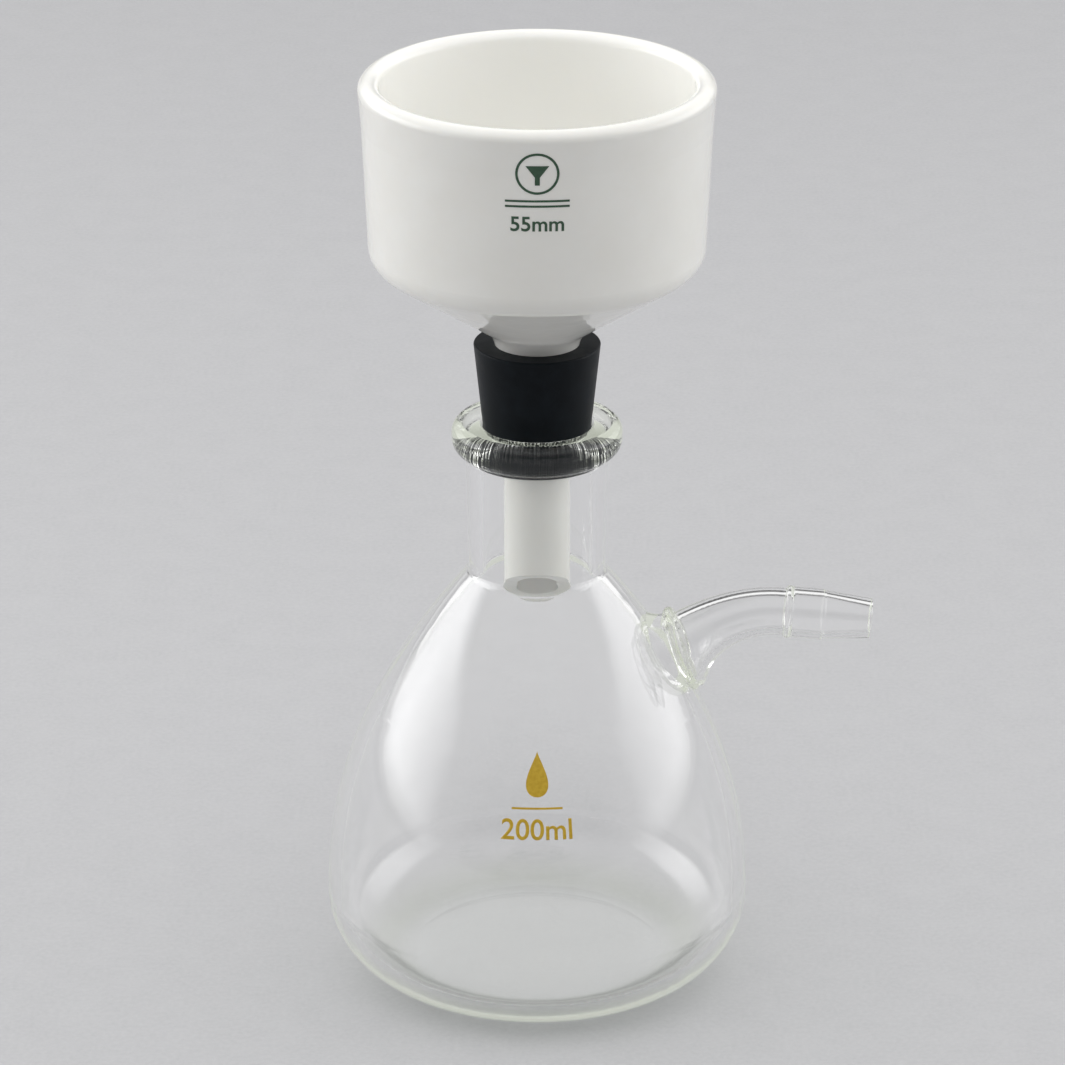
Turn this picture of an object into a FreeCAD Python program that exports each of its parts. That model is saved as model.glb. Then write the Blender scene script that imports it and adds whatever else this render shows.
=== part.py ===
import FreeCAD, Part
import math
import os

# Porcelain Buchner funnel in a drilled rubber stopper, on a glass filter flask with a side arm.
# Millimetres, +Z up. The origin is the middle of the flask's flat foot, and the arm points to +X.
# Outlines are half sections in the XZ plane: points are (radius, height).

# Filter flask: a flat foot, a round heel, and a belly of two arcs up to the shoulder.
foot_radius = 24.4
heel_radius = 16.0
belly_arc_radius = 86.0
shoulder_arc_radius = 135.0
belly_arc_end = 27.0            # degrees above the belly's widest ring, where the shoulder arc starts
flask_wall = 2.5
foot_thickness = 3.2

# Neck and mouth: heavier tubing with a fire-polished bead.
neck_root_height = 83.4
neck_root_radius = 12.85
neck_fillet = 2.2
neck_top_radius = 13.35
neck_top_height = 104.2
neck_bore_radius = 10.2
bead_radius = 16.0
bead_widest_height = 109.0
mouth_height = 111.9
mouth_crest_radius = 14.3
mouth_inner_radius = 10.9
mouth_inner_height = 111.3
mouth_rounding = 0.7
bead_foot_height = 105.6        # where the small hollow under the bead turns into the bead
bead_hollow = 0.31              # how far that hollow lies behind its chord
bead_hollow_angle = 117.0
bead_bulge = 0.7                # how far each arc of the bead stands out from its chord
bead_bulge_angle = 40.0

# Side arm: one bend that flattens out into the hose nozzle, which droops a little.
arm_joint_x = 47.0
arm_joint_height = 72.9
arm_bend_radius = 23.7
arm_start_angle = 47.5          # degrees above the horizontal where the arm leaves the weld
arm_end_angle = -5.0
arm_tube_radius = 4.3
arm_bore_radius = 3.1
arm_flare = 2.8                 # how much wider the arm's outside is at the weld
arm_bore_flare = 2.3
arm_flare_length = 7.2
arm_stations = 12

# Weld between the arm and the stub drawn out of the flask's wall.
weld_tilt = 21.0                # degrees that the weld's axis rises above the horizontal
weld_ring_radius = 7.3
weld_bead_radius = 1.0
stub_radius = 7.3
stub_bore_radius = 5.5
stub_flare = 6.0
stub_depth = 11.0

# Hose nozzle, measured along its own axis from the joint with the arm.
nozzle_length = 16.5
nozzle_bead_radius = 0.75       # section of the melted bead round the joint
nozzle_land_radius = 4.85
nozzle_land_end = 7.2
nozzle_step = 0.25              # how much the nozzle steps in where its taper starts
nozzle_tip_radius = 3.85
nozzle_bore_wide = 3.7
nozzle_bore_wide_start = 1.6
nozzle_bore_tip = 2.55
nozzle_rounding = 0.4

# Rubber stopper, a little clear of the glass and of the stem.
stopper_top_height = 127.3
stopper_height = 23.0
stopper_top_radius = 11.85
stopper_bottom_radius = 9.5
stopper_rounding = 0.35
stem_clearance = 0.06

# Porcelain stem with an outlet that is scooped out on a slant and faces the front.
stem_radius = 6.2
stem_bore_radius = 3.85
stem_root_height = 127.4
stem_root_radius = 8.0
stem_flare_height = 119.5
stem_tip_height = 72.0
scoop_radius = 36.0
scoop_centre_height = 51.9
scoop_centre_front = 23.8       # how far in front of the stem's axis the scoop's own axis lies
tip_rounding = 0.4

# Porcelain bowl for 55 mm filter papers.
lip_height = 178.5
lip_radius = 1.92
lip_start_angle = -12.0         # degrees above the horizontal where the bead starts on the outside
rim_radius = 32.9
bead_blend_height = 170.0
bowl_top_radius = 32.35
bowl_bottom_radius = 31.3
bowl_corner_height = 146.6
bowl_corner_radius = 5.1
bowl_cone_angle = 33.0
bowl_wall = 3.3
seat_radius = 28.0
seat_height = 145.6
seat_ledge_radius = 26.2

# Perforated plate: one middle hole and rings of six, twelve, eighteen holes and so on.
plate_thickness = 4.0
plate_hole_radius = 0.9
plate_ring_pitch = 4.6
plate_rings = 5
holes_per_ring_step = 6

ORIGIN = FreeCAD.Vector(0, 0, 0)
UP = FreeCAD.Vector(0, 0, 1)
SAME_POINT = 1e-6
OVERSHOOT = 1.0                 # how far a cutting solid runs past the face that it opens
BLOCK_SIZE = 120.0


def at(radius, height):
    """A point of a half section."""
    return FreeCAD.Vector(radius, 0, height)


def aimed(angle, length=1.0):
    """A vector in the XZ plane, at an angle in degrees from +X towards +Z."""
    return at(length * math.cos(math.radians(angle)), length * math.sin(math.radians(angle)))


def arc(centre, radius, start, end):
    """An arc about a centre, from one angle to another in degrees."""
    return Part.Arc(*[centre + aimed(angle, radius) for angle in (start, (start + end) / 2, end)])


def turned(outline):
    """Turn a closed outline of points and arcs about the Z axis. Straight lines join them up."""
    ends = [(item, item) if isinstance(item, FreeCAD.Vector) else (item.StartPoint, item.EndPoint)
            for item in outline]
    edges = [item.toShape() for item in outline if not isinstance(item, FreeCAD.Vector)]
    for (_, end), (start, _) in zip(ends, ends[1:] + ends[:1]):
        if end.distanceToPoint(start) > SAME_POINT:
            edges.append(Part.LineSegment(end, start).toShape())
    section = Part.Face(Part.Wire(Part.__sortEdges__(edges)))
    return section.revolve(ORIGIN, UP, 360)


def stood(shape, place, axis):
    """Move a shape turned about Z so that its axis runs along another direction from a place."""
    moved = shape.copy()
    moved.Placement = FreeCAD.Placement(place, FreeCAD.Rotation(UP, axis))
    return moved


def half_space(place, axis):
    """A block whose near face lies on a plane and whose body lies on the side of the axis."""
    corner = FreeCAD.Vector(-BLOCK_SIZE / 2, -BLOCK_SIZE / 2, 0)
    block = Part.makeBox(BLOCK_SIZE, BLOCK_SIZE, BLOCK_SIZE, corner)
    return stood(block, place, axis)


# The belly's widest ring is at the top of the heel, and the two wall arcs share these centres.
flask_radius = foot_radius + heel_radius
belly = at(flask_radius - belly_arc_radius, heel_radius)
shoulder = belly + aimed(belly_arc_end, belly_arc_radius - shoulder_arc_radius)

# The arm's centreline is one arc, with a straight run behind the weld.
arm_joint = at(arm_joint_x, arm_joint_height)
arm_bend_centre = arm_joint + aimed(arm_end_angle - 90, arm_bend_radius)
weld_centre = arm_bend_centre + aimed(arm_start_angle + 90, arm_bend_radius)
weld_axis = aimed(weld_tilt)
nozzle_axis = aimed(arm_end_angle)
arm_length = arm_bend_radius * math.radians(arm_start_angle - arm_end_angle)


def arm_solid(tube_radius, flare, overrun):
    """A bent trumpet along the arm: wide at the weld, settling to the tube's radius."""
    wires = []
    for step in range(-1, arm_stations + 1):
        along = arm_length * step / arm_stations
        angle = arm_start_angle
        place = weld_centre + aimed(angle, along)
        if step > 0:
            angle = arm_start_angle - math.degrees(along / arm_bend_radius)
            place = arm_bend_centre + aimed(angle + 90, arm_bend_radius)
        radius = tube_radius + flare * math.exp(-along / arm_flare_length)
        wires.append(Part.Wire(Part.makeCircle(radius, place, aimed(angle))))
    tube = Part.makeLoft(wires, True)
    if overrun:
        plug = Part.makeCylinder(tube_radius, overrun, arm_joint, nozzle_axis)
        backwards = aimed(180 + arm_start_angle)
        behind = Part.makeCylinder(stub_bore_radius, OVERSHOOT, wires[0].CenterOfMass, backwards)
        tube = tube.fuse([plug, behind])
    return tube


def flask_outside():
    """Outside of the flask up to the neck's seam, as one filled solid."""
    heel = at(foot_radius, heel_radius)
    reach = shoulder_arc_radius + neck_fillet
    shoulder_end = math.degrees(math.acos((neck_root_radius + neck_fillet - shoulder.x) / reach))
    fillet = shoulder + aimed(shoulder_end, reach)
    return turned([
        ORIGIN,
        arc(heel, heel_radius, -90, 0),
        arc(belly, belly_arc_radius, 0, belly_arc_end),
        arc(shoulder, shoulder_arc_radius, belly_arc_end, shoulder_end),
        arc(fillet, neck_fillet, 180 + shoulder_end, 180),
        at(neck_root_radius, neck_root_height),
        at(0, neck_root_height),
    ])


def flask_inside():
    """Hollow of the flask, which runs a little past the neck's seam."""
    heel_inside = heel_radius - foot_thickness
    fillet_radius = neck_fillet + neck_root_radius - neck_bore_radius
    reach = shoulder_arc_radius - flask_wall + fillet_radius
    shoulder_end = math.degrees(math.acos((neck_bore_radius + fillet_radius - shoulder.x) / reach))
    fillet = shoulder + aimed(shoulder_end, reach)
    return turned([
        at(0, foot_thickness),
        arc(at(flask_radius - flask_wall - heel_inside, heel_radius), heel_inside, -90, 0),
        arc(belly, belly_arc_radius - flask_wall, 0, belly_arc_end),
        arc(shoulder, reach - fillet_radius, belly_arc_end, shoulder_end),
        arc(fillet, fillet_radius, 180 + shoulder_end, 180),
        at(neck_bore_radius, neck_root_height + OVERSHOOT),
        at(0, neck_root_height + OVERSHOOT),
    ])


def flask_stub():
    """Short stub of the flask's wall, drawn out towards the weld with a flared root."""
    stub = turned([
        ORIGIN,
        at(0, -stub_depth),
        at(stub_radius + stub_flare, -stub_depth),
        arc(at(stub_radius + stub_flare, 0), stub_flare, -90, -180),
    ])
    return stood(stub, weld_centre, weld_axis)


def stub_bore():
    """Hole through the stub, flared where it opens into the flask."""
    bore = turned([
        at(0, OVERSHOOT),
        at(0, -stub_depth),
        at(stub_bore_radius + stub_flare, -stub_depth),
        arc(at(stub_bore_radius + stub_flare, -flask_wall), stub_flare, -90, -180),
        at(stub_bore_radius, OVERSHOOT),
    ])
    return stood(bore, weld_centre, weld_axis)


def flask_neck():
    """Neck tube with the thick bead round its mouth."""
    neck_top = at(neck_top_radius, neck_top_height)
    bead_foot = at(neck_top_radius + mouth_rounding, bead_foot_height)
    bead_side = at(bead_radius, bead_widest_height)
    crest = at(mouth_crest_radius, mouth_height)
    hollow_middle = (neck_top + bead_foot) * 0.5 + aimed(bead_hollow_angle, bead_hollow)
    bead_lower = (bead_foot + bead_side) * 0.5 + aimed(-bead_bulge_angle, bead_bulge)
    bead_upper = (bead_side + crest) * 0.5 + aimed(bead_bulge_angle, bead_bulge)
    lip = at(neck_bore_radius + mouth_rounding, mouth_inner_height - mouth_rounding)
    return turned([
        at(neck_bore_radius, neck_root_height),
        at(neck_root_radius, neck_root_height),
        Part.Arc(neck_top, hollow_middle, bead_foot),
        Part.Arc(bead_foot, bead_lower, bead_side),
        Part.Arc(bead_side, bead_upper, crest),
        arc(lip, mouth_rounding, 90, 180),
    ])


def hose_nozzle():
    """Stepped nozzle with a melted bead at its joint, a straight land for the hose and a tapered tip."""
    bead = at(arm_tube_radius, nozzle_bead_radius)
    bead_end = math.degrees(math.acos((nozzle_land_radius - arm_tube_radius) / nozzle_bead_radius))
    tip_end = nozzle_length - nozzle_rounding
    shape = turned([
        at(arm_bore_radius, 0),
        arc(bead, nozzle_bead_radius, -90, bead_end),
        at(nozzle_land_radius, nozzle_land_end),
        at(nozzle_land_radius - nozzle_step, nozzle_land_end + nozzle_rounding),
        arc(at(nozzle_tip_radius - nozzle_rounding, tip_end), nozzle_rounding, 0, 90),
        at(nozzle_bore_tip, nozzle_length),
        at(nozzle_bore_wide, nozzle_land_end),
        at(nozzle_bore_wide, nozzle_bore_wide_start),
    ])
    return stood(shape, arm_joint, nozzle_axis)


def rubber_stopper():
    """Tapered stopper with a hole whose mouth follows the stem's flare."""
    bottom = stopper_top_height - stopper_height
    hole = stem_radius + stem_clearance
    hole_flare = (stem_root_radius - stem_radius) / (stem_root_height - stem_flare_height)
    hole_top = hole + hole_flare * (stopper_top_height - stem_flare_height)
    rounding = stopper_rounding
    return turned([
        at(hole, bottom),
        arc(at(stopper_bottom_radius - rounding, bottom + rounding), rounding, -90, 0),
        arc(at(stopper_top_radius - rounding, stopper_top_height - rounding), rounding, 0, 90),
        at(hole_top, stopper_top_height),
        at(hole, stem_flare_height),
    ])


def funnel_stem():
    """Stem with a flared root, a straight bore and a scooped outlet."""
    stem = turned([
        at(stem_bore_radius, stem_tip_height),
        arc(at(stem_radius - tip_rounding, stem_tip_height + tip_rounding), tip_rounding, -90, 0),
        at(stem_radius, stem_flare_height),
        at(stem_root_radius, stem_root_height),
        at(stem_bore_radius, stem_root_height),
    ])
    place = FreeCAD.Vector(-BLOCK_SIZE / 2, -scoop_centre_front, scoop_centre_height)
    scoop = Part.makeCylinder(scoop_radius, BLOCK_SIZE, place, FreeCAD.Vector(1, 0, 0))
    return stem.cut(scoop)


def funnel_bowl():
    """Bowl with a beaded lip, a ledge for the plate, and a cone that runs down to the stem."""
    wall_angle = math.degrees(math.atan2(bead_blend_height - bowl_corner_height,
                                         bowl_top_radius - bowl_bottom_radius))
    root_angle = math.degrees(math.atan2(stem_root_height - stem_flare_height,
                                         stem_root_radius - stem_radius))
    corner = at(bowl_bottom_radius, bowl_corner_height) + aimed(wall_angle + 90, bowl_corner_radius)
    down = aimed(bowl_cone_angle - 90)
    cone_top = corner + down * bowl_corner_radius
    root = at(stem_root_radius, stem_root_height)
    turn = math.radians(root_angle - bowl_cone_angle)
    throat_radius = (root - cone_top).dot(down) / (1 - math.cos(turn))
    throat = root + aimed(root_angle - 90, throat_radius)

    cone_inside = cone_top - down * bowl_wall
    slope = math.tan(math.radians(bowl_cone_angle))
    ledge_foot = cone_inside.z - slope * (cone_inside.x - seat_ledge_radius)
    bore_top = cone_inside.z - slope * (cone_inside.x - stem_bore_radius)
    lip = at(rim_radius - lip_radius, lip_height - lip_radius)
    return turned([
        at(stem_bore_radius, stem_root_height),
        arc(throat, throat_radius, root_angle + 90, bowl_cone_angle + 90),
        arc(corner, bowl_corner_radius, bowl_cone_angle - 90, wall_angle - 90),
        at(bowl_top_radius, bead_blend_height),
        arc(lip, lip_radius, lip_start_angle, 180),
        at(seat_radius, seat_height + plate_thickness),
        at(seat_radius, seat_height),
        at(seat_ledge_radius, seat_height),
        at(seat_ledge_radius, ledge_foot),
        at(stem_bore_radius, bore_top),
    ])


def perforated_plate():
    """Flat plate with its holes on rings that are one pitch apart."""
    plate = Part.makeCylinder(seat_radius, plate_thickness, at(0, seat_height))
    places = [(0.0, 0.0)]
    for ring in range(1, plate_rings + 1):
        count = holes_per_ring_step * ring
        places += [(ring * plate_ring_pitch, 360.0 * hole / count) for hole in range(count)]
    holes = []
    for reach, angle in places:
        spot = aimed(angle, reach)
        foot = FreeCAD.Vector(spot.x, spot.z, seat_height - OVERSHOOT)
        holes.append(Part.makeCylinder(plate_hole_radius, plate_thickness + 2 * OVERSHOOT, foot))
    return plate.cut(Part.makeCompound(holes))


outside = flask_outside().fuse(flask_stub())
hollow = flask_inside().fuse(stub_bore())
before_weld = half_space(weld_centre, -weld_axis)
arm_outside = arm_solid(arm_tube_radius, arm_flare, 0)
arm_hollow = arm_solid(arm_bore_radius, arm_bore_flare, OVERSHOOT)
weld_torus = stood(Part.makeTorus(weld_ring_radius, weld_bead_radius), weld_centre, weld_axis)

nodes = {
    "flask_body": outside.cut(hollow),
    "flask_neck": flask_neck(),
    "side_arm": arm_outside.cut(arm_hollow).cut(before_weld),
    "arm_weld": weld_torus.cut(outside).cut(arm_outside),
    "hose_nozzle": hose_nozzle(),
    "rubber_stopper": rubber_stopper(),
    "funnel_stem": funnel_stem(),
    "funnel_bowl": funnel_bowl(),
    "perforated_plate": perforated_plate(),
}

os.makedirs("parts", exist_ok=True)
for name, shape in nodes.items():
    print(name, len(shape.Solids), "solid", shape.isValid(), round(shape.Volume, 1), "mm3")
    shape.exportStep("parts/" + name + ".step")
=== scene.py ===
import math

import bmesh
import bpy
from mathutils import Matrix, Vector, noise as steady_noise
from mathutils.bvhtree import BVHTree


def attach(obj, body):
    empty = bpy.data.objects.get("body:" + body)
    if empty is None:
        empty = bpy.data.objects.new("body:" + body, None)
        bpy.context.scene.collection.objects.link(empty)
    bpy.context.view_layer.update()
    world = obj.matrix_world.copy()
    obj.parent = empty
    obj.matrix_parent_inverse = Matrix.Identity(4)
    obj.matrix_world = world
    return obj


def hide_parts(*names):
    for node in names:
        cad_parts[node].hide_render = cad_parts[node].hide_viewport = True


# Porcelain Buchner funnel in a rubber stopper on a glass filter flask. Metres, +Z up, arm to +X.
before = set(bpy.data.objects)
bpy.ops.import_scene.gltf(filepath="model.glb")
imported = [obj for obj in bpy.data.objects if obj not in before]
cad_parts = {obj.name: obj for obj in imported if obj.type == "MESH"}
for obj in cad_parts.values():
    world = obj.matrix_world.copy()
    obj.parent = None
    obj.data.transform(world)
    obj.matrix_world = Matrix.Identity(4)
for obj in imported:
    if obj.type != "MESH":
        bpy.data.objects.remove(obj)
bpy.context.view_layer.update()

MM = 0.001
FAR = 0.2                       # well outside the object, where search rays start
WHITE = (1.0, 1.0, 1.0, 1.0)

# Camera: far off and a little above, looking along +Y at the flask from its front.
CAMERA_DISTANCE = 0.948
CAMERA_HEIGHT = 0.473
CAMERA_PITCH = math.radians(22.05)
CAMERA_SIDE = -0.86 * MM
CAMERA_LENS = 183.2
CAMERA_SENSOR = 36.0
LEVEL_VIEW = math.radians(90.0)

# Softboxes: place, size and power; each faces the middle of the object.
LIGHT_TARGET = (0.0, 0.0, 0.09)
SIDE_BOX_SIZE = (1.6, 0.65)
LEFT_BOX_PLACE = (-0.93, 0.19, 0.335)
LEFT_BOX_POWER = 8.8
RIGHT_BOX_PLACE = (0.93, 0.19, 0.335)
RIGHT_BOX_POWER = 6.0
TOP_BOX_PLACE = (0.0, -0.10, 1.05)
TOP_BOX_SIZE = (0.9, 0.7)
TOP_BOX_POWER = 4.6
SOFTBOX_CENTRE = (0.5, 0.5, 0.0)
# A softbox fades along its length and its height. Each pair says how far off its centre, as a
# share of its size, there is no light and full light.
LENGTH_FADE = (0.5, 0.08)
HEIGHT_FADE = (0.5, 0.3)

# Room light: strengths, and the parts of the directions over which one fades into the next.
FRONT_LIGHT = 0.2
WALL_LIGHT = 0.83
GAP_LIGHT = 0.05                # a dark gap low down, straight behind
BACK_LIGHT = 0.98
CEILING_LIGHT = 1.0
FRONT_FADE = (-0.80, -0.30)
BACK_FADE = (0.2, 0.7)
GAP_HEIGHT_FADE = (0.18, 0.38)
GAP_WIDTH_FADE = (0.86, 0.95)
CEILING_FADE = (0.35, 0.85)

FLOOR_HALF = 6.0
FLOOR_DROP = 0.3 * MM
FLOOR_PAPER = ((0.432, 0.432, 0.443, 1.0), (0.492, 0.492, 0.501, 1.0))
FLOOR_CLOUD = (0.522, 0.522, 0.53, 1.0)
FLOOR_CLOUD_SHARE = 0.25

# Glass: clear where it is thin, tinted where it is thick.
GLASS_NODES = ("flask_body", "flask_neck", "arm_weld", "side_arm", "hose_nozzle")
GLASS_IOR = 1.474
THICK_TINT = (0.93, 0.955, 0.86, 1.0)
PALE_TINT = (0.965, 0.98, 0.93, 1.0)
TRAPPED_DEPTH = (3.4, 3.6)      # painted glow: after this many reflections inside the glass, the glass emits an even pale light of its own
TRAPPED_LIGHT = 0.32
TRAPPED_COLOUR = (0.96, 1.0, 0.89, 1.0)
SATIN = 0.12                    # roughness of the mouth's ground top
MOUTH_HEIGHTS = (111.0 * MM, 111.3 * MM)
BEAD_HEIGHTS = (104.5 * MM, 108.0 * MM)
BASE_HEIGHTS = (6.0 * MM, 0.0)
SHADOW_TINT = (0.975, 0.98, 0.972, 1.0)
HEEL_SHADOW_TINT = (0.68, 0.69, 0.68, 1.0)
HEEL_HEIGHTS = (10.0 * MM, 1.0 * MM)
HEEL_REACHES = (24.0 * MM, 30.0 * MM)
HEEL_FRONTS = (8.0 * MM, -22.0 * MM)
HEEL_BACK_SHARE = 0.25
SEAM_REACH = 0.004 * MM         # how near a neighbour's face lies where two pieces are fused
SEAM_FACING = -0.99
WELD_OVERLAP = 0.05 * MM

PORCELAIN_NODES = ("funnel_bowl", "funnel_stem", "perforated_plate")
PORCELAIN_IOR = 1.5
PORCELAIN_BODY = ((0.862, 0.854, 0.812, 1.0), (0.882, 0.877, 0.84, 1.0))
INSIDE_PAINTED_LIGHT = (0.95, 0.945, 0.91, 1.0)   # painted light: the inside of the bowl is painted whiter to stand in for the brighter light it gets
INSIDE_REACHES = (31.0 * MM, 29.5 * MM)
INSIDE_HEIGHTS = (150.0 * MM, 152.0 * MM)
SPECK_COLOUR = (0.32, 0.27, 0.21, 1.0)
SPECK_EDGE = (0.016, 0.028)
SPECK_CHOICE = (0.90, 0.92)     # only cells above this share hold a speck

RUBBER_IOR = 1.42
RUBBER_GLOSS = 0.17
RUBBER_BLACKS = ((0.0018, 0.0036, 0.0055, 1.0), (0.005, 0.008, 0.011, 1.0))

# The belt of rubber pressed against the neck's bore.
BORE_RADIUS = 10.2 * MM
SQUEEZE_FOOT = 104.35 * MM
SQUEEZE_TOP = 110.6 * MM
SQUEEZE_FOOT_RADIUS = 9.5 * MM  # at its two edges the belt ends inside the stopper
SQUEEZE_TOP_RADIUS = 10.1 * MM
SQUEEZE_INNER = 9.2 * MM
SQUEEZE_ROWS = 16
SQUEEZE_STEPS = 1024
SQUEEZE_STREAKS = 110.0         # waves per radian round the belt
SQUEEZE_DRIFT = 2.0             # waves from its foot to its top
SQUEEZE_RISE = 16.0             # how steeply the belt swells out from its edges
SQUEEZE_DEPTH = 0.02 * MM
SQUEEZE_CONTACT = -0.05         # below 0, more than half of the belt stands clear of the glass

# Prints.
GREEN_INK = ((0.024, 0.070, 0.036, 1.0), (0.040, 0.100, 0.055, 1.0))
OCHRE_INK = ((0.50, 0.32, 0.022, 1.0), (0.60, 0.40, 0.035, 1.0))
INK_THICKNESS = 0.02 * MM
PRINT_EDGE = 0.35 * MM
PRINT_CUTS = 6
PRINT_LIFT = 0.03 * MM
WELD_DISTANCE = 0.001 * MM
CAP_SHARE = 0.729               # height of a figure as a share of the font's size
CURVE_STEPS = 6
CIRCLE_STEPS = 72
RULE_THICKNESS = 0.4 * MM
SIGN_HEIGHT = 170.8 * MM
SIGN_RADIUS = 3.95 * MM
SIGN_INNER_RADIUS = 3.5 * MM
CONE_HALF_WIDTH = 2.1 * MM
CONE_TOP = 1.5 * MM
CONE_FOOT = -0.7 * MM
SPOUT_HALF_WIDTH = 0.45 * MM
SPOUT_FOOT = -2.2 * MM
BOWL_RULES_HEIGHT = 165.1 * MM
BOWL_RULE_WIDTH = 11.6 * MM
BOWL_RULE_SPACING = 1.0 * MM
BOWL_SIZE_HEIGHT = 161.1 * MM
BOWL_CAPS = 2.85 * MM
BOWL_WEIGHT = 0.06 * MM
DROP_HEIGHT = 53.4 * MM
DROP_HALF_WIDTH = 2.9 * MM
DROP_HALF_HEIGHT = 4.3 * MM
DROP_POINT = 1.5                # how sharply the drop narrows to its point
DROP_STEPS = 60
FLASK_RULE_HEIGHT = 47.6 * MM
FLASK_RULE_WIDTH = 9.5 * MM
FLASK_SIZE_HEIGHT = 43.7 * MM
FLASK_CAPS = 4.0 * MM
FLASK_WEIGHT = 0.07 * MM


# ---------------------------------------------------------------- node helpers

def new_material(name):
    """A material with an empty tree, its output node and one Principled shader."""
    material = bpy.data.materials.new(name)
    material.use_nodes = True
    tree = material.node_tree
    tree.nodes.clear()
    output = tree.nodes.new("ShaderNodeOutputMaterial")
    shader = tree.nodes.new("ShaderNodeBsdfPrincipled")
    tree.links.new(shader.outputs["BSDF"], output.inputs["Surface"])
    return material, tree, shader, output


def add(tree, kind, settings=None, **inputs):
    """Add a node. Keyword names are input sockets, with _ for a space; a value may be a socket."""
    node = tree.nodes.new(kind)
    for key, value in (settings or {}).items():
        setattr(node, key, value)
    for key, value in inputs.items():
        socket = node.inputs[key.replace("_", " ")]
        if isinstance(value, bpy.types.NodeSocket):
            tree.links.new(value, socket)
        else:
            socket.default_value = value
    return node


def object_place(tree):
    """Object coordinates, which are the row frame's metres on every piece here."""
    return add(tree, "ShaderNodeTexCoord").outputs["Object"]


def reach_from_axis(tree):
    """How far a point lies from the common axis of flask, stopper and funnel."""
    parts = add(tree, "ShaderNodeSeparateXYZ", Vector=object_place(tree)).outputs
    flat = add(tree, "ShaderNodeCombineXYZ", X=parts["X"], Y=parts["Y"])
    length = add(tree, "ShaderNodeVectorMath", {"operation": "LENGTH"}, Vector=flat.outputs[0])
    return length.outputs["Value"]


def multiplied(tree, first, second):
    """The product of two values."""
    node = add(tree, "ShaderNodeMath", {"operation": "MULTIPLY"})
    tree.links.new(first, node.inputs[0])
    tree.links.new(second, node.inputs[1])
    return node.outputs[0]


def noise(tree, scale, detail=3.0, roughness=0.5, place=None):
    """A noise value over the object's own coordinates. Scale is in waves per metre."""
    node = add(tree, "ShaderNodeTexNoise", Vector=place or object_place(tree), Scale=scale,
               Detail=detail, Roughness=roughness)
    return node.outputs["Fac"]


def remap(tree, value, low_in, high_in, low_out, high_out):
    """Map a value from one range to another, clamped."""
    node = add(tree, "ShaderNodeMapRange", Value=value, From_Min=low_in, From_Max=high_in,
               To_Min=low_out, To_Max=high_out)
    return node.outputs["Result"]


def blend_colours(tree, share, first, second):
    """Mix two colours by a share."""
    node = add(tree, "ShaderNodeMix", {"data_type": "RGBA"})
    tree.links.new(share, node.inputs[0])
    for socket, value in ((node.inputs[6], first), (node.inputs[7], second)):
        if isinstance(value, bpy.types.NodeSocket):
            tree.links.new(value, socket)
        else:
            socket.default_value = value
    return node.outputs[2]


def bump(tree, height, strength, distance, below=None):
    """A bump normal from a height, laid over another normal if one is given."""
    node = add(tree, "ShaderNodeBump", Height=height, Strength=strength, Distance=distance)
    if below is not None:
        tree.links.new(below, node.inputs["Normal"])
    return node.outputs["Normal"]


# ---------------------------------------------------------------- materials

def glass_material(name, tint_heights=None, satin_heights=None, tint_reaches=None):
    """Clear blown glass with a slight waviness, tinted and satin only past the heights given, and a
    painted glow where rays have bounced deep inside it.
    """
    material, tree, shader, output = new_material(name)
    streaks = remap(tree, noise(tree, 140.0, 2.0), 0.3, 0.7, 0.0, 1.0)
    tinted = blend_colours(tree, streaks, THICK_TINT, PALE_TINT)
    place = add(tree, "ShaderNodeSeparateXYZ", Vector=object_place(tree))
    height = place.outputs["Z"]
    if tint_heights:
        share = remap(tree, height, *tint_heights, 0.0, 1.0)
        if tint_reaches:
            share = multiplied(tree, share, remap(tree, reach_from_axis(tree), *tint_reaches, 0.0, 1.0))
        tinted = blend_colours(tree, share, WHITE, tinted)
    tree.links.new(tinted, shader.inputs["Base Color"])
    shader.inputs["Roughness"].default_value = 0.0
    if satin_heights:
        tree.links.new(remap(tree, height, *satin_heights, 0.0, SATIN), shader.inputs["Roughness"])
    shader.inputs["IOR"].default_value = GLASS_IOR
    shader.inputs["Transmission Weight"].default_value = 1.0
    drawn = noise(tree, 55.0, 1.0)
    tree.links.new(bump(tree, drawn, 0.25, 0.2 * MM), shader.inputs["Normal"])
    path = add(tree, "ShaderNodeLightPath")
    # Painted glow: glass that a ray reaches after several reflections emits pale green light, standing in
    # for light trapped in the glass.
    painted_glow = remap(tree, path.outputs["Glossy Depth"], *TRAPPED_DEPTH, 0.0, TRAPPED_LIGHT)
    tree.links.new(painted_glow, shader.inputs["Emission Strength"])
    shader.inputs["Emission Color"].default_value = TRAPPED_COLOUR
    material.cycles.emission_sampling = "NONE"
    lit_through = add(tree, "ShaderNodeMath", {"operation": "MAXIMUM"})
    tree.links.new(path.outputs["Is Shadow Ray"], lit_through.inputs[0])
    tree.links.new(path.outputs["Is Diffuse Ray"], lit_through.inputs[1])
    low = remap(tree, height, *HEEL_HEIGHTS, 0.0, 1.0)
    heel = multiplied(tree, low, remap(tree, reach_from_axis(tree), *HEEL_REACHES, 0.0, 1.0))
    front = remap(tree, place.outputs["Y"], *HEEL_FRONTS, HEEL_BACK_SHARE, 1.0)
    heel = multiplied(tree, heel, front)
    shadow = blend_colours(tree, heel, SHADOW_TINT, HEEL_SHADOW_TINT)
    open_glass = add(tree, "ShaderNodeBsdfTransparent", Color=shadow)
    mixed = add(tree, "ShaderNodeMixShader", Fac=lit_through.outputs[0])
    tree.links.new(shader.outputs["BSDF"], mixed.inputs[1])
    tree.links.new(open_glass.outputs["BSDF"], mixed.inputs[2])
    tree.links.new(mixed.outputs["Shader"], output.inputs["Surface"])
    return material


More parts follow.
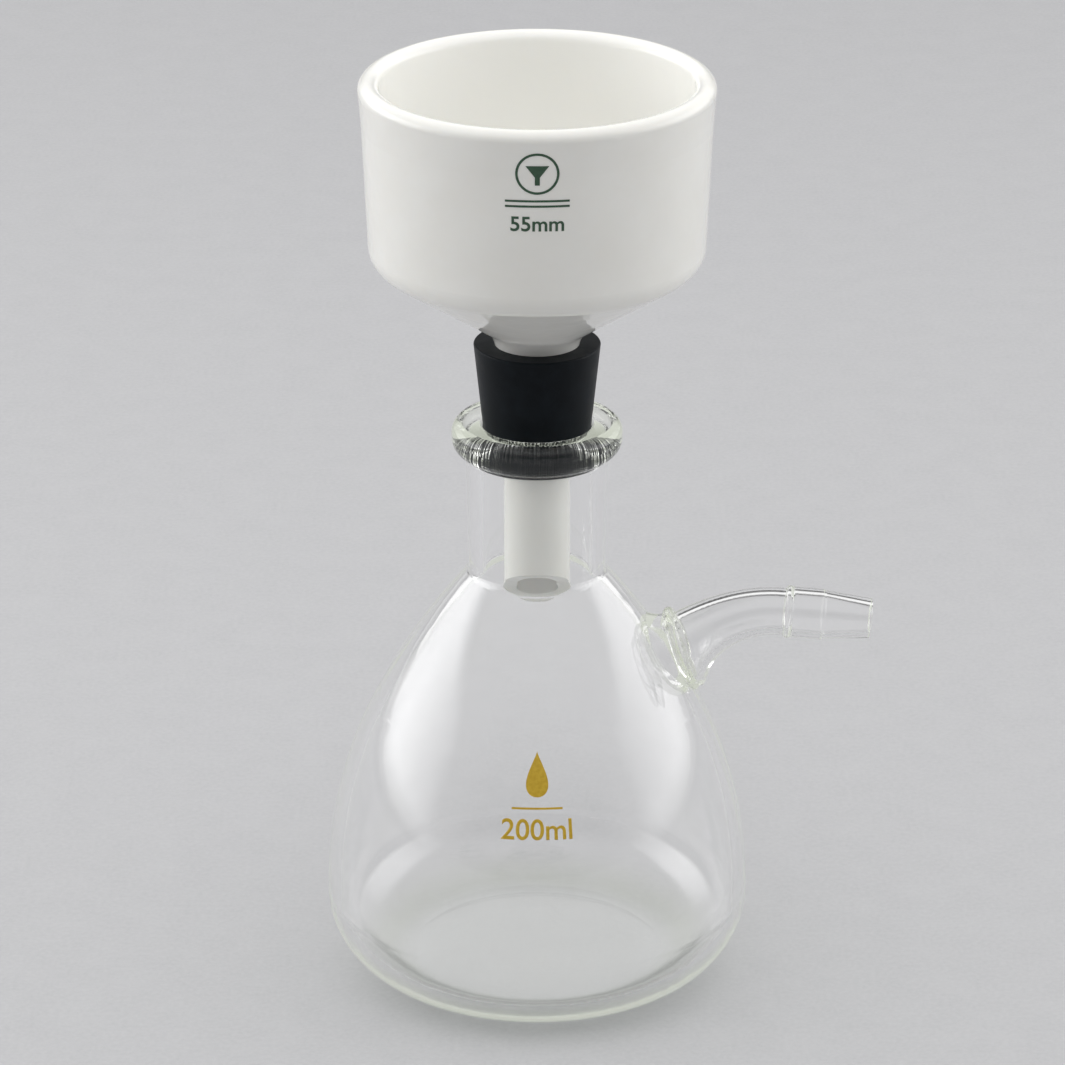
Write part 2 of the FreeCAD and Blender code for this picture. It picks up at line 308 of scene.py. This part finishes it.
def fused_material():
    """Where two glass pieces are melted into one there is no surface to see."""
    material = bpy.data.materials.new("fused_glass")
    material.use_nodes = True
    tree = material.node_tree
    tree.nodes.clear()
    output = tree.nodes.new("ShaderNodeOutputMaterial")
    clear = add(tree, "ShaderNodeBsdfTransparent")
    tree.links.new(clear.outputs["BSDF"], output.inputs["Surface"])
    return material


def porcelain_material():
    """White glazed porcelain with a soft wavy glaze, faint mottling, a few iron specks, and painted
    light: whiter inside the bowl.
    """
    material, tree, shader, _ = new_material("white_porcelain")
    cloud = noise(tree, 90.0, 4.0, 0.6)
    fine = noise(tree, 900.0, 2.0)
    body = blend_colours(tree, remap(tree, cloud, 0.35, 0.65, 0.0, 1.0), *PORCELAIN_BODY)
    cells = add(tree, "ShaderNodeTexVoronoi", Vector=object_place(tree), Scale=75.0)
    speck = remap(tree, cells.outputs["Distance"], *SPECK_EDGE, 1.0, 0.0)
    draw = add(tree, "ShaderNodeSeparateColor", Color=cells.outputs["Color"]).outputs[0]
    chosen = remap(tree, draw, *SPECK_CHOICE, 0.0, 1.0)
    shown = multiplied(tree, speck, chosen)
    height = add(tree, "ShaderNodeSeparateXYZ", Vector=object_place(tree)).outputs["Z"]
    # Painted light: the inside of the bowl is made whiter, standing in for the brighter light that falls
    # there.
    inside = multiplied(tree, remap(tree, reach_from_axis(tree), *INSIDE_REACHES, 0.0, 1.0),
                        remap(tree, height, *INSIDE_HEIGHTS, 0.0, 1.0))
    body = blend_colours(tree, inside, body, INSIDE_PAINTED_LIGHT)
    colour = blend_colours(tree, shown, body, SPECK_COLOUR)
    tree.links.new(colour, shader.inputs["Base Color"])
    tree.links.new(remap(tree, fine, 0.3, 0.7, 0.05, 0.09), shader.inputs["Roughness"])
    shader.inputs["IOR"].default_value = PORCELAIN_IOR
    shader.inputs["Subsurface Weight"].default_value = 0.12
    shader.inputs["Subsurface Radius"].default_value = (1.0, 0.9, 0.75)
    shader.inputs["Subsurface Scale"].default_value = 1.2 * MM
    wave = bump(tree, noise(tree, 130.0, 2.0), 0.35, 0.35 * MM)
    tree.links.new(bump(tree, fine, 0.08, 0.05 * MM, wave), shader.inputs["Normal"])
    return material


def rubber_material():
    """Black rubber, matt, with a fine moulded grain and paler rubbed patches."""
    material, tree, shader, _ = new_material("black_rubber")
    patch = noise(tree, 260.0, 5.0, 0.65)
    grain = noise(tree, 4200.0, 2.0)
    colour = blend_colours(tree, remap(tree, patch, 0.42, 0.72, 0.0, 1.0), *RUBBER_BLACKS)
    tree.links.new(colour, shader.inputs["Base Color"])
    tree.links.new(remap(tree, patch, 0.3, 0.7, 0.42, 0.55), shader.inputs["Roughness"])
    shader.inputs["IOR"].default_value = RUBBER_IOR
    shader.inputs["Specular IOR Level"].default_value = RUBBER_GLOSS
    coarse = bump(tree, noise(tree, 900.0, 3.0), 0.12, 0.1 * MM)
    tree.links.new(bump(tree, grain, 0.25, 0.03 * MM, coarse), shader.inputs["Normal"])
    return material


def ink_material(name, colour, faded):
    """Fired print: dense ink with a faintly uneven coat."""
    material, tree, shader, _ = new_material(name)
    uneven = remap(tree, noise(tree, 1500.0, 3.0), 0.35, 0.75, 0.0, 1.0)
    tree.links.new(blend_colours(tree, uneven, colour, faded), shader.inputs["Base Color"])
    tree.links.new(remap(tree, uneven, 0.0, 1.0, 0.28, 0.4), shader.inputs["Roughness"])
    tree.links.new(bump(tree, uneven, 0.15, 0.02 * MM), shader.inputs["Normal"])
    return material


def floor_material():
    """Pale grey paper with a fine fibrous grain."""
    material, tree, shader, _ = new_material("pale_floor")
    fibres = remap(tree, noise(tree, 900.0, 4.0, 0.7), 0.25, 0.75, 0.0, 1.0)
    cloud = noise(tree, 110.0, 3.0, 0.6)
    paper = blend_colours(tree, fibres, *FLOOR_PAPER)
    cloudy = remap(tree, cloud, 0.3, 0.7, 0.0, FLOOR_CLOUD_SHARE)
    colour = blend_colours(tree, cloudy, paper, FLOOR_CLOUD)
    tree.links.new(colour, shader.inputs["Base Color"])
    shader.inputs["Roughness"].default_value = 0.9
    shader.inputs["Specular IOR Level"].default_value = 0.1
    return material


# ---------------------------------------------------------------- glass pieces

def surface_tree(mesh):
    """A search tree over a mesh's faces."""
    shape = bmesh.new()
    shape.from_mesh(mesh)
    tree = BVHTree.FromBMesh(shape)
    shape.free()
    return tree


def build_glass(glasses, fused):
    """Each glass node again, as a piece whose faces that are fused to a neighbour don't show."""
    trees = {name: surface_tree(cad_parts[name].data) for name in GLASS_NODES}
    for name in GLASS_NODES:
        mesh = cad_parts[name].data.copy()
        mesh.materials.clear()
        mesh.materials.append(glasses[name])
        mesh.materials.append(fused)
        neighbours = [trees[other] for other in GLASS_NODES if other != name]
        for face in mesh.polygons:
            for tree in neighbours:
                _, normal, _, _ = tree.find_nearest(face.center, SEAM_REACH)
                if normal is not None and normal.dot(face.normal) < SEAM_FACING:
                    face.material_index = 1
        piece = place_piece(name + "_glass", mesh, "flask")
        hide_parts(name)
        if name == "arm_weld":
            swell = piece.modifiers.new("melt_in", "DISPLACE")
            swell.mid_level = 0.0
            swell.strength = WELD_OVERLAP


def squeezed_edge(outward, share):
    """A point of the belt's outside, at a share of the way from its foot to its top."""
    drift = Vector((0.0, 0.0, share * SQUEEZE_DRIFT))
    streak = steady_noise.noise(outward * SQUEEZE_STREAKS + drift)
    press = min(1.0, SQUEEZE_RISE * share * (1.0 - share))
    start = SQUEEZE_FOOT_RADIUS + (SQUEEZE_TOP_RADIUS - SQUEEZE_FOOT_RADIUS) * share
    reach = start + (BORE_RADIUS + SQUEEZE_DEPTH * (streak + SQUEEZE_CONTACT) - start) * press
    height = SQUEEZE_FOOT + (SQUEEZE_TOP - SQUEEZE_FOOT) * share
    return outward * reach + Vector((0.0, 0.0, height))


def build_squeeze(material):
    """The belt of rubber pressed against the neck's bore, which it touches in upright streaks."""
    turns = [2 * math.pi * step / SQUEEZE_STEPS for step in range(SQUEEZE_STEPS)]
    round_about = [Vector((math.cos(turn), math.sin(turn), 0.0)) for turn in turns]
    rings = [[outward * SQUEEZE_INNER + Vector((0.0, 0.0, height)) for outward in round_about]
             for height in (SQUEEZE_FOOT, SQUEEZE_TOP)]
    rings += [[squeezed_edge(outward, row / SQUEEZE_ROWS) for outward in round_about]
              for row in range(SQUEEZE_ROWS, -1, -1)]
    shape = bmesh.new()
    rings = [[shape.verts.new(point) for point in ring] for ring in rings]
    for low, high in zip(rings, rings[1:] + rings[:1]):
        for step in range(SQUEEZE_STEPS):
            after = (step + 1) % SQUEEZE_STEPS
            face = shape.faces.new((low[step], low[after], high[after], high[step]))
            face.smooth = True
    bmesh.ops.recalc_face_normals(shape, faces=shape.faces)
    mesh = bpy.data.meshes.new("stopper_squeeze")
    shape.to_mesh(mesh)
    shape.free()
    mesh.materials.append(material)
    place_piece("stopper_squeeze", mesh, "stopper")


def place_piece(name, mesh, body):
    """Put a mesh in the scene as a named piece of one body."""
    piece = bpy.data.objects.new(name, mesh)
    bpy.context.scene.collection.objects.link(piece)
    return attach(piece, body)


# ---------------------------------------------------------------- prints

def text_mesh(words, height, weight):
    """Bold sans figures as a flat mesh, centred, of a real cap height."""
    curve = bpy.data.curves.new("lettering", "FONT")
    curve.body = words
    curve.align_x = "CENTER"
    curve.align_y = "CENTER"
    curve.size = height / CAP_SHARE
    curve.offset = weight
    curve.resolution_u = CURVE_STEPS
    return flattened(curve)


def line_mesh(outlines):
    """Flat shapes bounded by closed outlines of (across, up) points; an inner outline is a hole."""
    curve = bpy.data.curves.new("mark", "CURVE")
    curve.dimensions = "2D"
    curve.fill_mode = "BOTH"
    for outline in outlines:
        spline = curve.splines.new("POLY")
        spline.points.add(len(outline) - 1)
        for point, (across, up) in zip(spline.points, outline):
            point.co = (across, up, 0.0, 1.0)
        spline.use_cyclic_u = True
    return flattened(curve)


def flattened(curve):
    """The filled mesh of a curve, cut finely enough to bend round a wall."""
    holder = bpy.data.objects.new(curve.name, curve)
    mesh = bpy.data.meshes.new_from_object(holder)
    bpy.data.objects.remove(holder)
    shape = bmesh.new()
    shape.from_mesh(mesh)
    bmesh.ops.remove_doubles(shape, verts=shape.verts, dist=WELD_DISTANCE)
    for _ in range(PRINT_CUTS):
        long_edges = [e for e in shape.edges if e.calc_length() > PRINT_EDGE]
        if long_edges:
            bmesh.ops.subdivide_edges(shape, edges=long_edges, cuts=1)
            bmesh.ops.triangulate(shape, faces=shape.faces)
    shape.to_mesh(mesh)
    shape.free()
    return mesh


def wrap(mesh, tree, height):
    """Bend a flat mesh round the wall that a ray from the front meets, a hair above its surface."""
    middle, normal, _, _ = tree.ray_cast(Vector((0.0, -FAR, height)), Vector((0.0, 1.0, 0.0)))
    radius = -middle.y
    rise = math.hypot(normal.x, normal.y)
    for vertex in mesh.vertices:
        turn = vertex.co.x / radius
        outward = Vector((math.sin(turn), -math.cos(turn), 0.0))
        start = outward * FAR + Vector((0.0, 0.0, height + vertex.co.y * rise))
        place, facing, _, _ = tree.ray_cast(start, -outward)
        vertex.co = place + facing * PRINT_LIFT
    return mesh


def circle(radius):
    """Points round a circle."""
    turns = [2 * math.pi * step / CIRCLE_STEPS for step in range(CIRCLE_STEPS)]
    return [(radius * math.cos(turn), radius * math.sin(turn)) for turn in turns]


def rule(width, up=0.0):
    """Corners of a level rule."""
    low, high = up - RULE_THICKNESS / 2, up + RULE_THICKNESS / 2
    return [(-width / 2, low), (width / 2, low), (width / 2, high), (-width / 2, high)]


def drop():
    """Outline of a drop, point up."""
    turns = [2 * math.pi * step / DROP_STEPS for step in range(DROP_STEPS)]
    return [(DROP_HALF_WIDTH * math.sin(turn) * math.sin(turn / 2) ** DROP_POINT,
             DROP_HALF_HEIGHT * math.cos(turn)) for turn in turns]


def build_print(name, node, body, ink, marks):
    """Lay several flat marks on a node's front wall, as one thin piece. Each is (mesh, height)."""
    tree = surface_tree(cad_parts[node].data)
    shape = bmesh.new()
    for mesh, height in marks:
        shape.from_mesh(wrap(mesh, tree, height))
    mesh = bpy.data.meshes.new(name)
    shape.to_mesh(mesh)
    shape.free()
    mesh.materials.append(ink)
    piece = place_piece(name, mesh, body)
    thick = piece.modifiers.new("ink", "SOLIDIFY")
    thick.thickness = INK_THICKNESS
    thick.offset = 1.0


def build_prints(green, ochre):
    """Size marks under a plain filter sign on the bowl, and under a plain drop on the flask."""
    funnel_outline = [(-CONE_HALF_WIDTH, CONE_TOP), (-SPOUT_HALF_WIDTH, CONE_FOOT),
                      (-SPOUT_HALF_WIDTH, SPOUT_FOOT), (SPOUT_HALF_WIDTH, SPOUT_FOOT),
                      (SPOUT_HALF_WIDTH, CONE_FOOT), (CONE_HALF_WIDTH, CONE_TOP)]
    sign = line_mesh([circle(SIGN_RADIUS), circle(SIGN_INNER_RADIUS), funnel_outline])
    rules = line_mesh([rule(BOWL_RULE_WIDTH, BOWL_RULE_SPACING / 2),
                       rule(BOWL_RULE_WIDTH, -BOWL_RULE_SPACING / 2)])
    build_print("bowl_print", "funnel_bowl", "funnel", green, [
        (sign, SIGN_HEIGHT), (rules, BOWL_RULES_HEIGHT),
        (text_mesh("55mm", BOWL_CAPS, BOWL_WEIGHT), BOWL_SIZE_HEIGHT),
    ])
    build_print("flask_print", "flask_body", "flask", ochre, [
        (line_mesh([drop()]), DROP_HEIGHT), (line_mesh([rule(FLASK_RULE_WIDTH)]), FLASK_RULE_HEIGHT),
        (text_mesh("200ml", FLASK_CAPS, FLASK_WEIGHT), FLASK_SIZE_HEIGHT),
    ])


# ---------------------------------------------------------------- stage

def build_floor(material):
    """A wide floor, a hair under the foot."""
    half = FLOOR_HALF
    mesh = bpy.data.meshes.new("floor")
    corners = [(-half, -half, 0), (half, -half, 0), (half, half, 0), (-half, half, 0)]
    mesh.from_pydata(corners, [], [(0, 1, 2, 3)])
    mesh.materials.append(material)
    floor = bpy.data.objects.new("floor", mesh)
    floor.location.z = -FLOOR_DROP
    bpy.context.scene.collection.objects.link(floor)


def build_light(name, place, size, power):
    """A softbox that faces the object and fades towards its edges."""
    data = bpy.data.lights.new(name, "AREA")
    data.shape = "RECTANGLE"
    data.size, data.size_y = size
    data.energy = power
    data.use_nodes = True
    tree = data.node_tree
    spot = add(tree, "ShaderNodeNewGeometry").outputs["Parametric"]
    off_centre = add(tree, "ShaderNodeVectorMath", {"operation": "SUBTRACT"})
    tree.links.new(spot, off_centre.inputs[0])
    off_centre.inputs[1].default_value = SOFTBOX_CENTRE
    reach = add(tree, "ShaderNodeVectorMath", {"operation": "ABSOLUTE"})
    tree.links.new(off_centre.outputs[0], reach.inputs[0])
    sides = add(tree, "ShaderNodeSeparateXYZ", Vector=reach.outputs[0])
    across = remap(tree, sides.outputs["X"], *LENGTH_FADE, 0.0, 1.0)
    upward = remap(tree, sides.outputs["Y"], *HEIGHT_FADE, 0.0, 1.0)
    tree.links.new(multiplied(tree, across, upward), tree.nodes["Emission"].inputs["Strength"])
    light = bpy.data.objects.new(name, data)
    light.location = place
    light.rotation_euler = (Vector(LIGHT_TARGET) - Vector(place)).to_track_quat("-Z", "Y").to_euler()
    bpy.context.scene.collection.objects.link(light)
    return light


def build_world():
    """A pale studio, dim at the front and in a gap low down behind the backdrop's far edge."""
    world = bpy.data.worlds.new("studio")
    world.use_nodes = True
    tree = world.node_tree
    place = add(tree, "ShaderNodeTexCoord").outputs["Generated"]
    parts = add(tree, "ShaderNodeSeparateXYZ", Vector=place)
    round_about = remap(tree, parts.outputs["Y"], *FRONT_FADE, FRONT_LIGHT, WALL_LIGHT)
    behind = remap(tree, parts.outputs["Y"], *BACK_FADE, 0.0, 1.0)
    overhead = remap(tree, parts.outputs["Z"], *CEILING_FADE, 0.0, 1.0)
    gap = multiplied(tree, remap(tree, parts.outputs["Z"], *GAP_HEIGHT_FADE, 1.0, 0.0),
                     remap(tree, parts.outputs["Y"], *GAP_WIDTH_FADE, 0.0, 1.0))
    rear = remap(tree, gap, 0.0, 1.0, BACK_LIGHT, GAP_LIGHT)
    low = add(tree, "ShaderNodeMix", A=round_about, B=rear, Factor=behind)
    strength = add(tree, "ShaderNodeMix", A=low.outputs[0], B=CEILING_LIGHT, Factor=overhead)
    background = tree.nodes["Background"]
    background.inputs["Color"].default_value = WHITE
    tree.links.new(strength.outputs[0], background.inputs["Strength"])
    bpy.context.scene.world = world


def build_camera():
    """A long lens that looks down at the object from the front."""
    data = bpy.data.cameras.new("camera")
    data.lens = CAMERA_LENS
    data.sensor_width = CAMERA_SENSOR
    camera = bpy.data.objects.new("camera", data)
    camera.location = (CAMERA_SIDE, -CAMERA_DISTANCE, CAMERA_HEIGHT)
    camera.rotation_euler = (LEVEL_VIEW - CAMERA_PITCH, 0.0, 0.0)
    bpy.context.scene.collection.objects.link(camera)
    bpy.context.scene.camera = camera


# ---------------------------------------------------------------- making the scene

build_camera()
build_world()
build_floor(floor_material())
build_light("softbox_left", LEFT_BOX_PLACE, SIDE_BOX_SIZE, LEFT_BOX_POWER)
build_light("softbox_right", RIGHT_BOX_PLACE, SIDE_BOX_SIZE, RIGHT_BOX_POWER)
overhead = build_light("softbox_top", TOP_BOX_PLACE, TOP_BOX_SIZE, TOP_BOX_POWER)
overhead.visible_glossy = False
overhead.visible_transmission = False

build_glass({
    "flask_body": glass_material("base_glass", BASE_HEIGHTS, None, HEEL_REACHES),
    "flask_neck": glass_material("bead_glass", BEAD_HEIGHTS, MOUTH_HEIGHTS),
    "arm_weld": glass_material("weld_glass"),
    "side_arm": glass_material("arm_glass", BEAD_HEIGHTS),
    "hose_nozzle": glass_material("nozzle_glass", BEAD_HEIGHTS),
}, fused_material())
porcelain = porcelain_material()
for node in PORCELAIN_NODES:
    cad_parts[node].data.materials[0] = porcelain
rubber = rubber_material()
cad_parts["rubber_stopper"].data.materials[0] = rubber
build_squeeze(rubber)
build_prints(ink_material("green_ink", *GREEN_INK), ink_material("ochre_ink", *OCHRE_INK))

bpy.context.scene.view_settings.view_transform = "Standard"
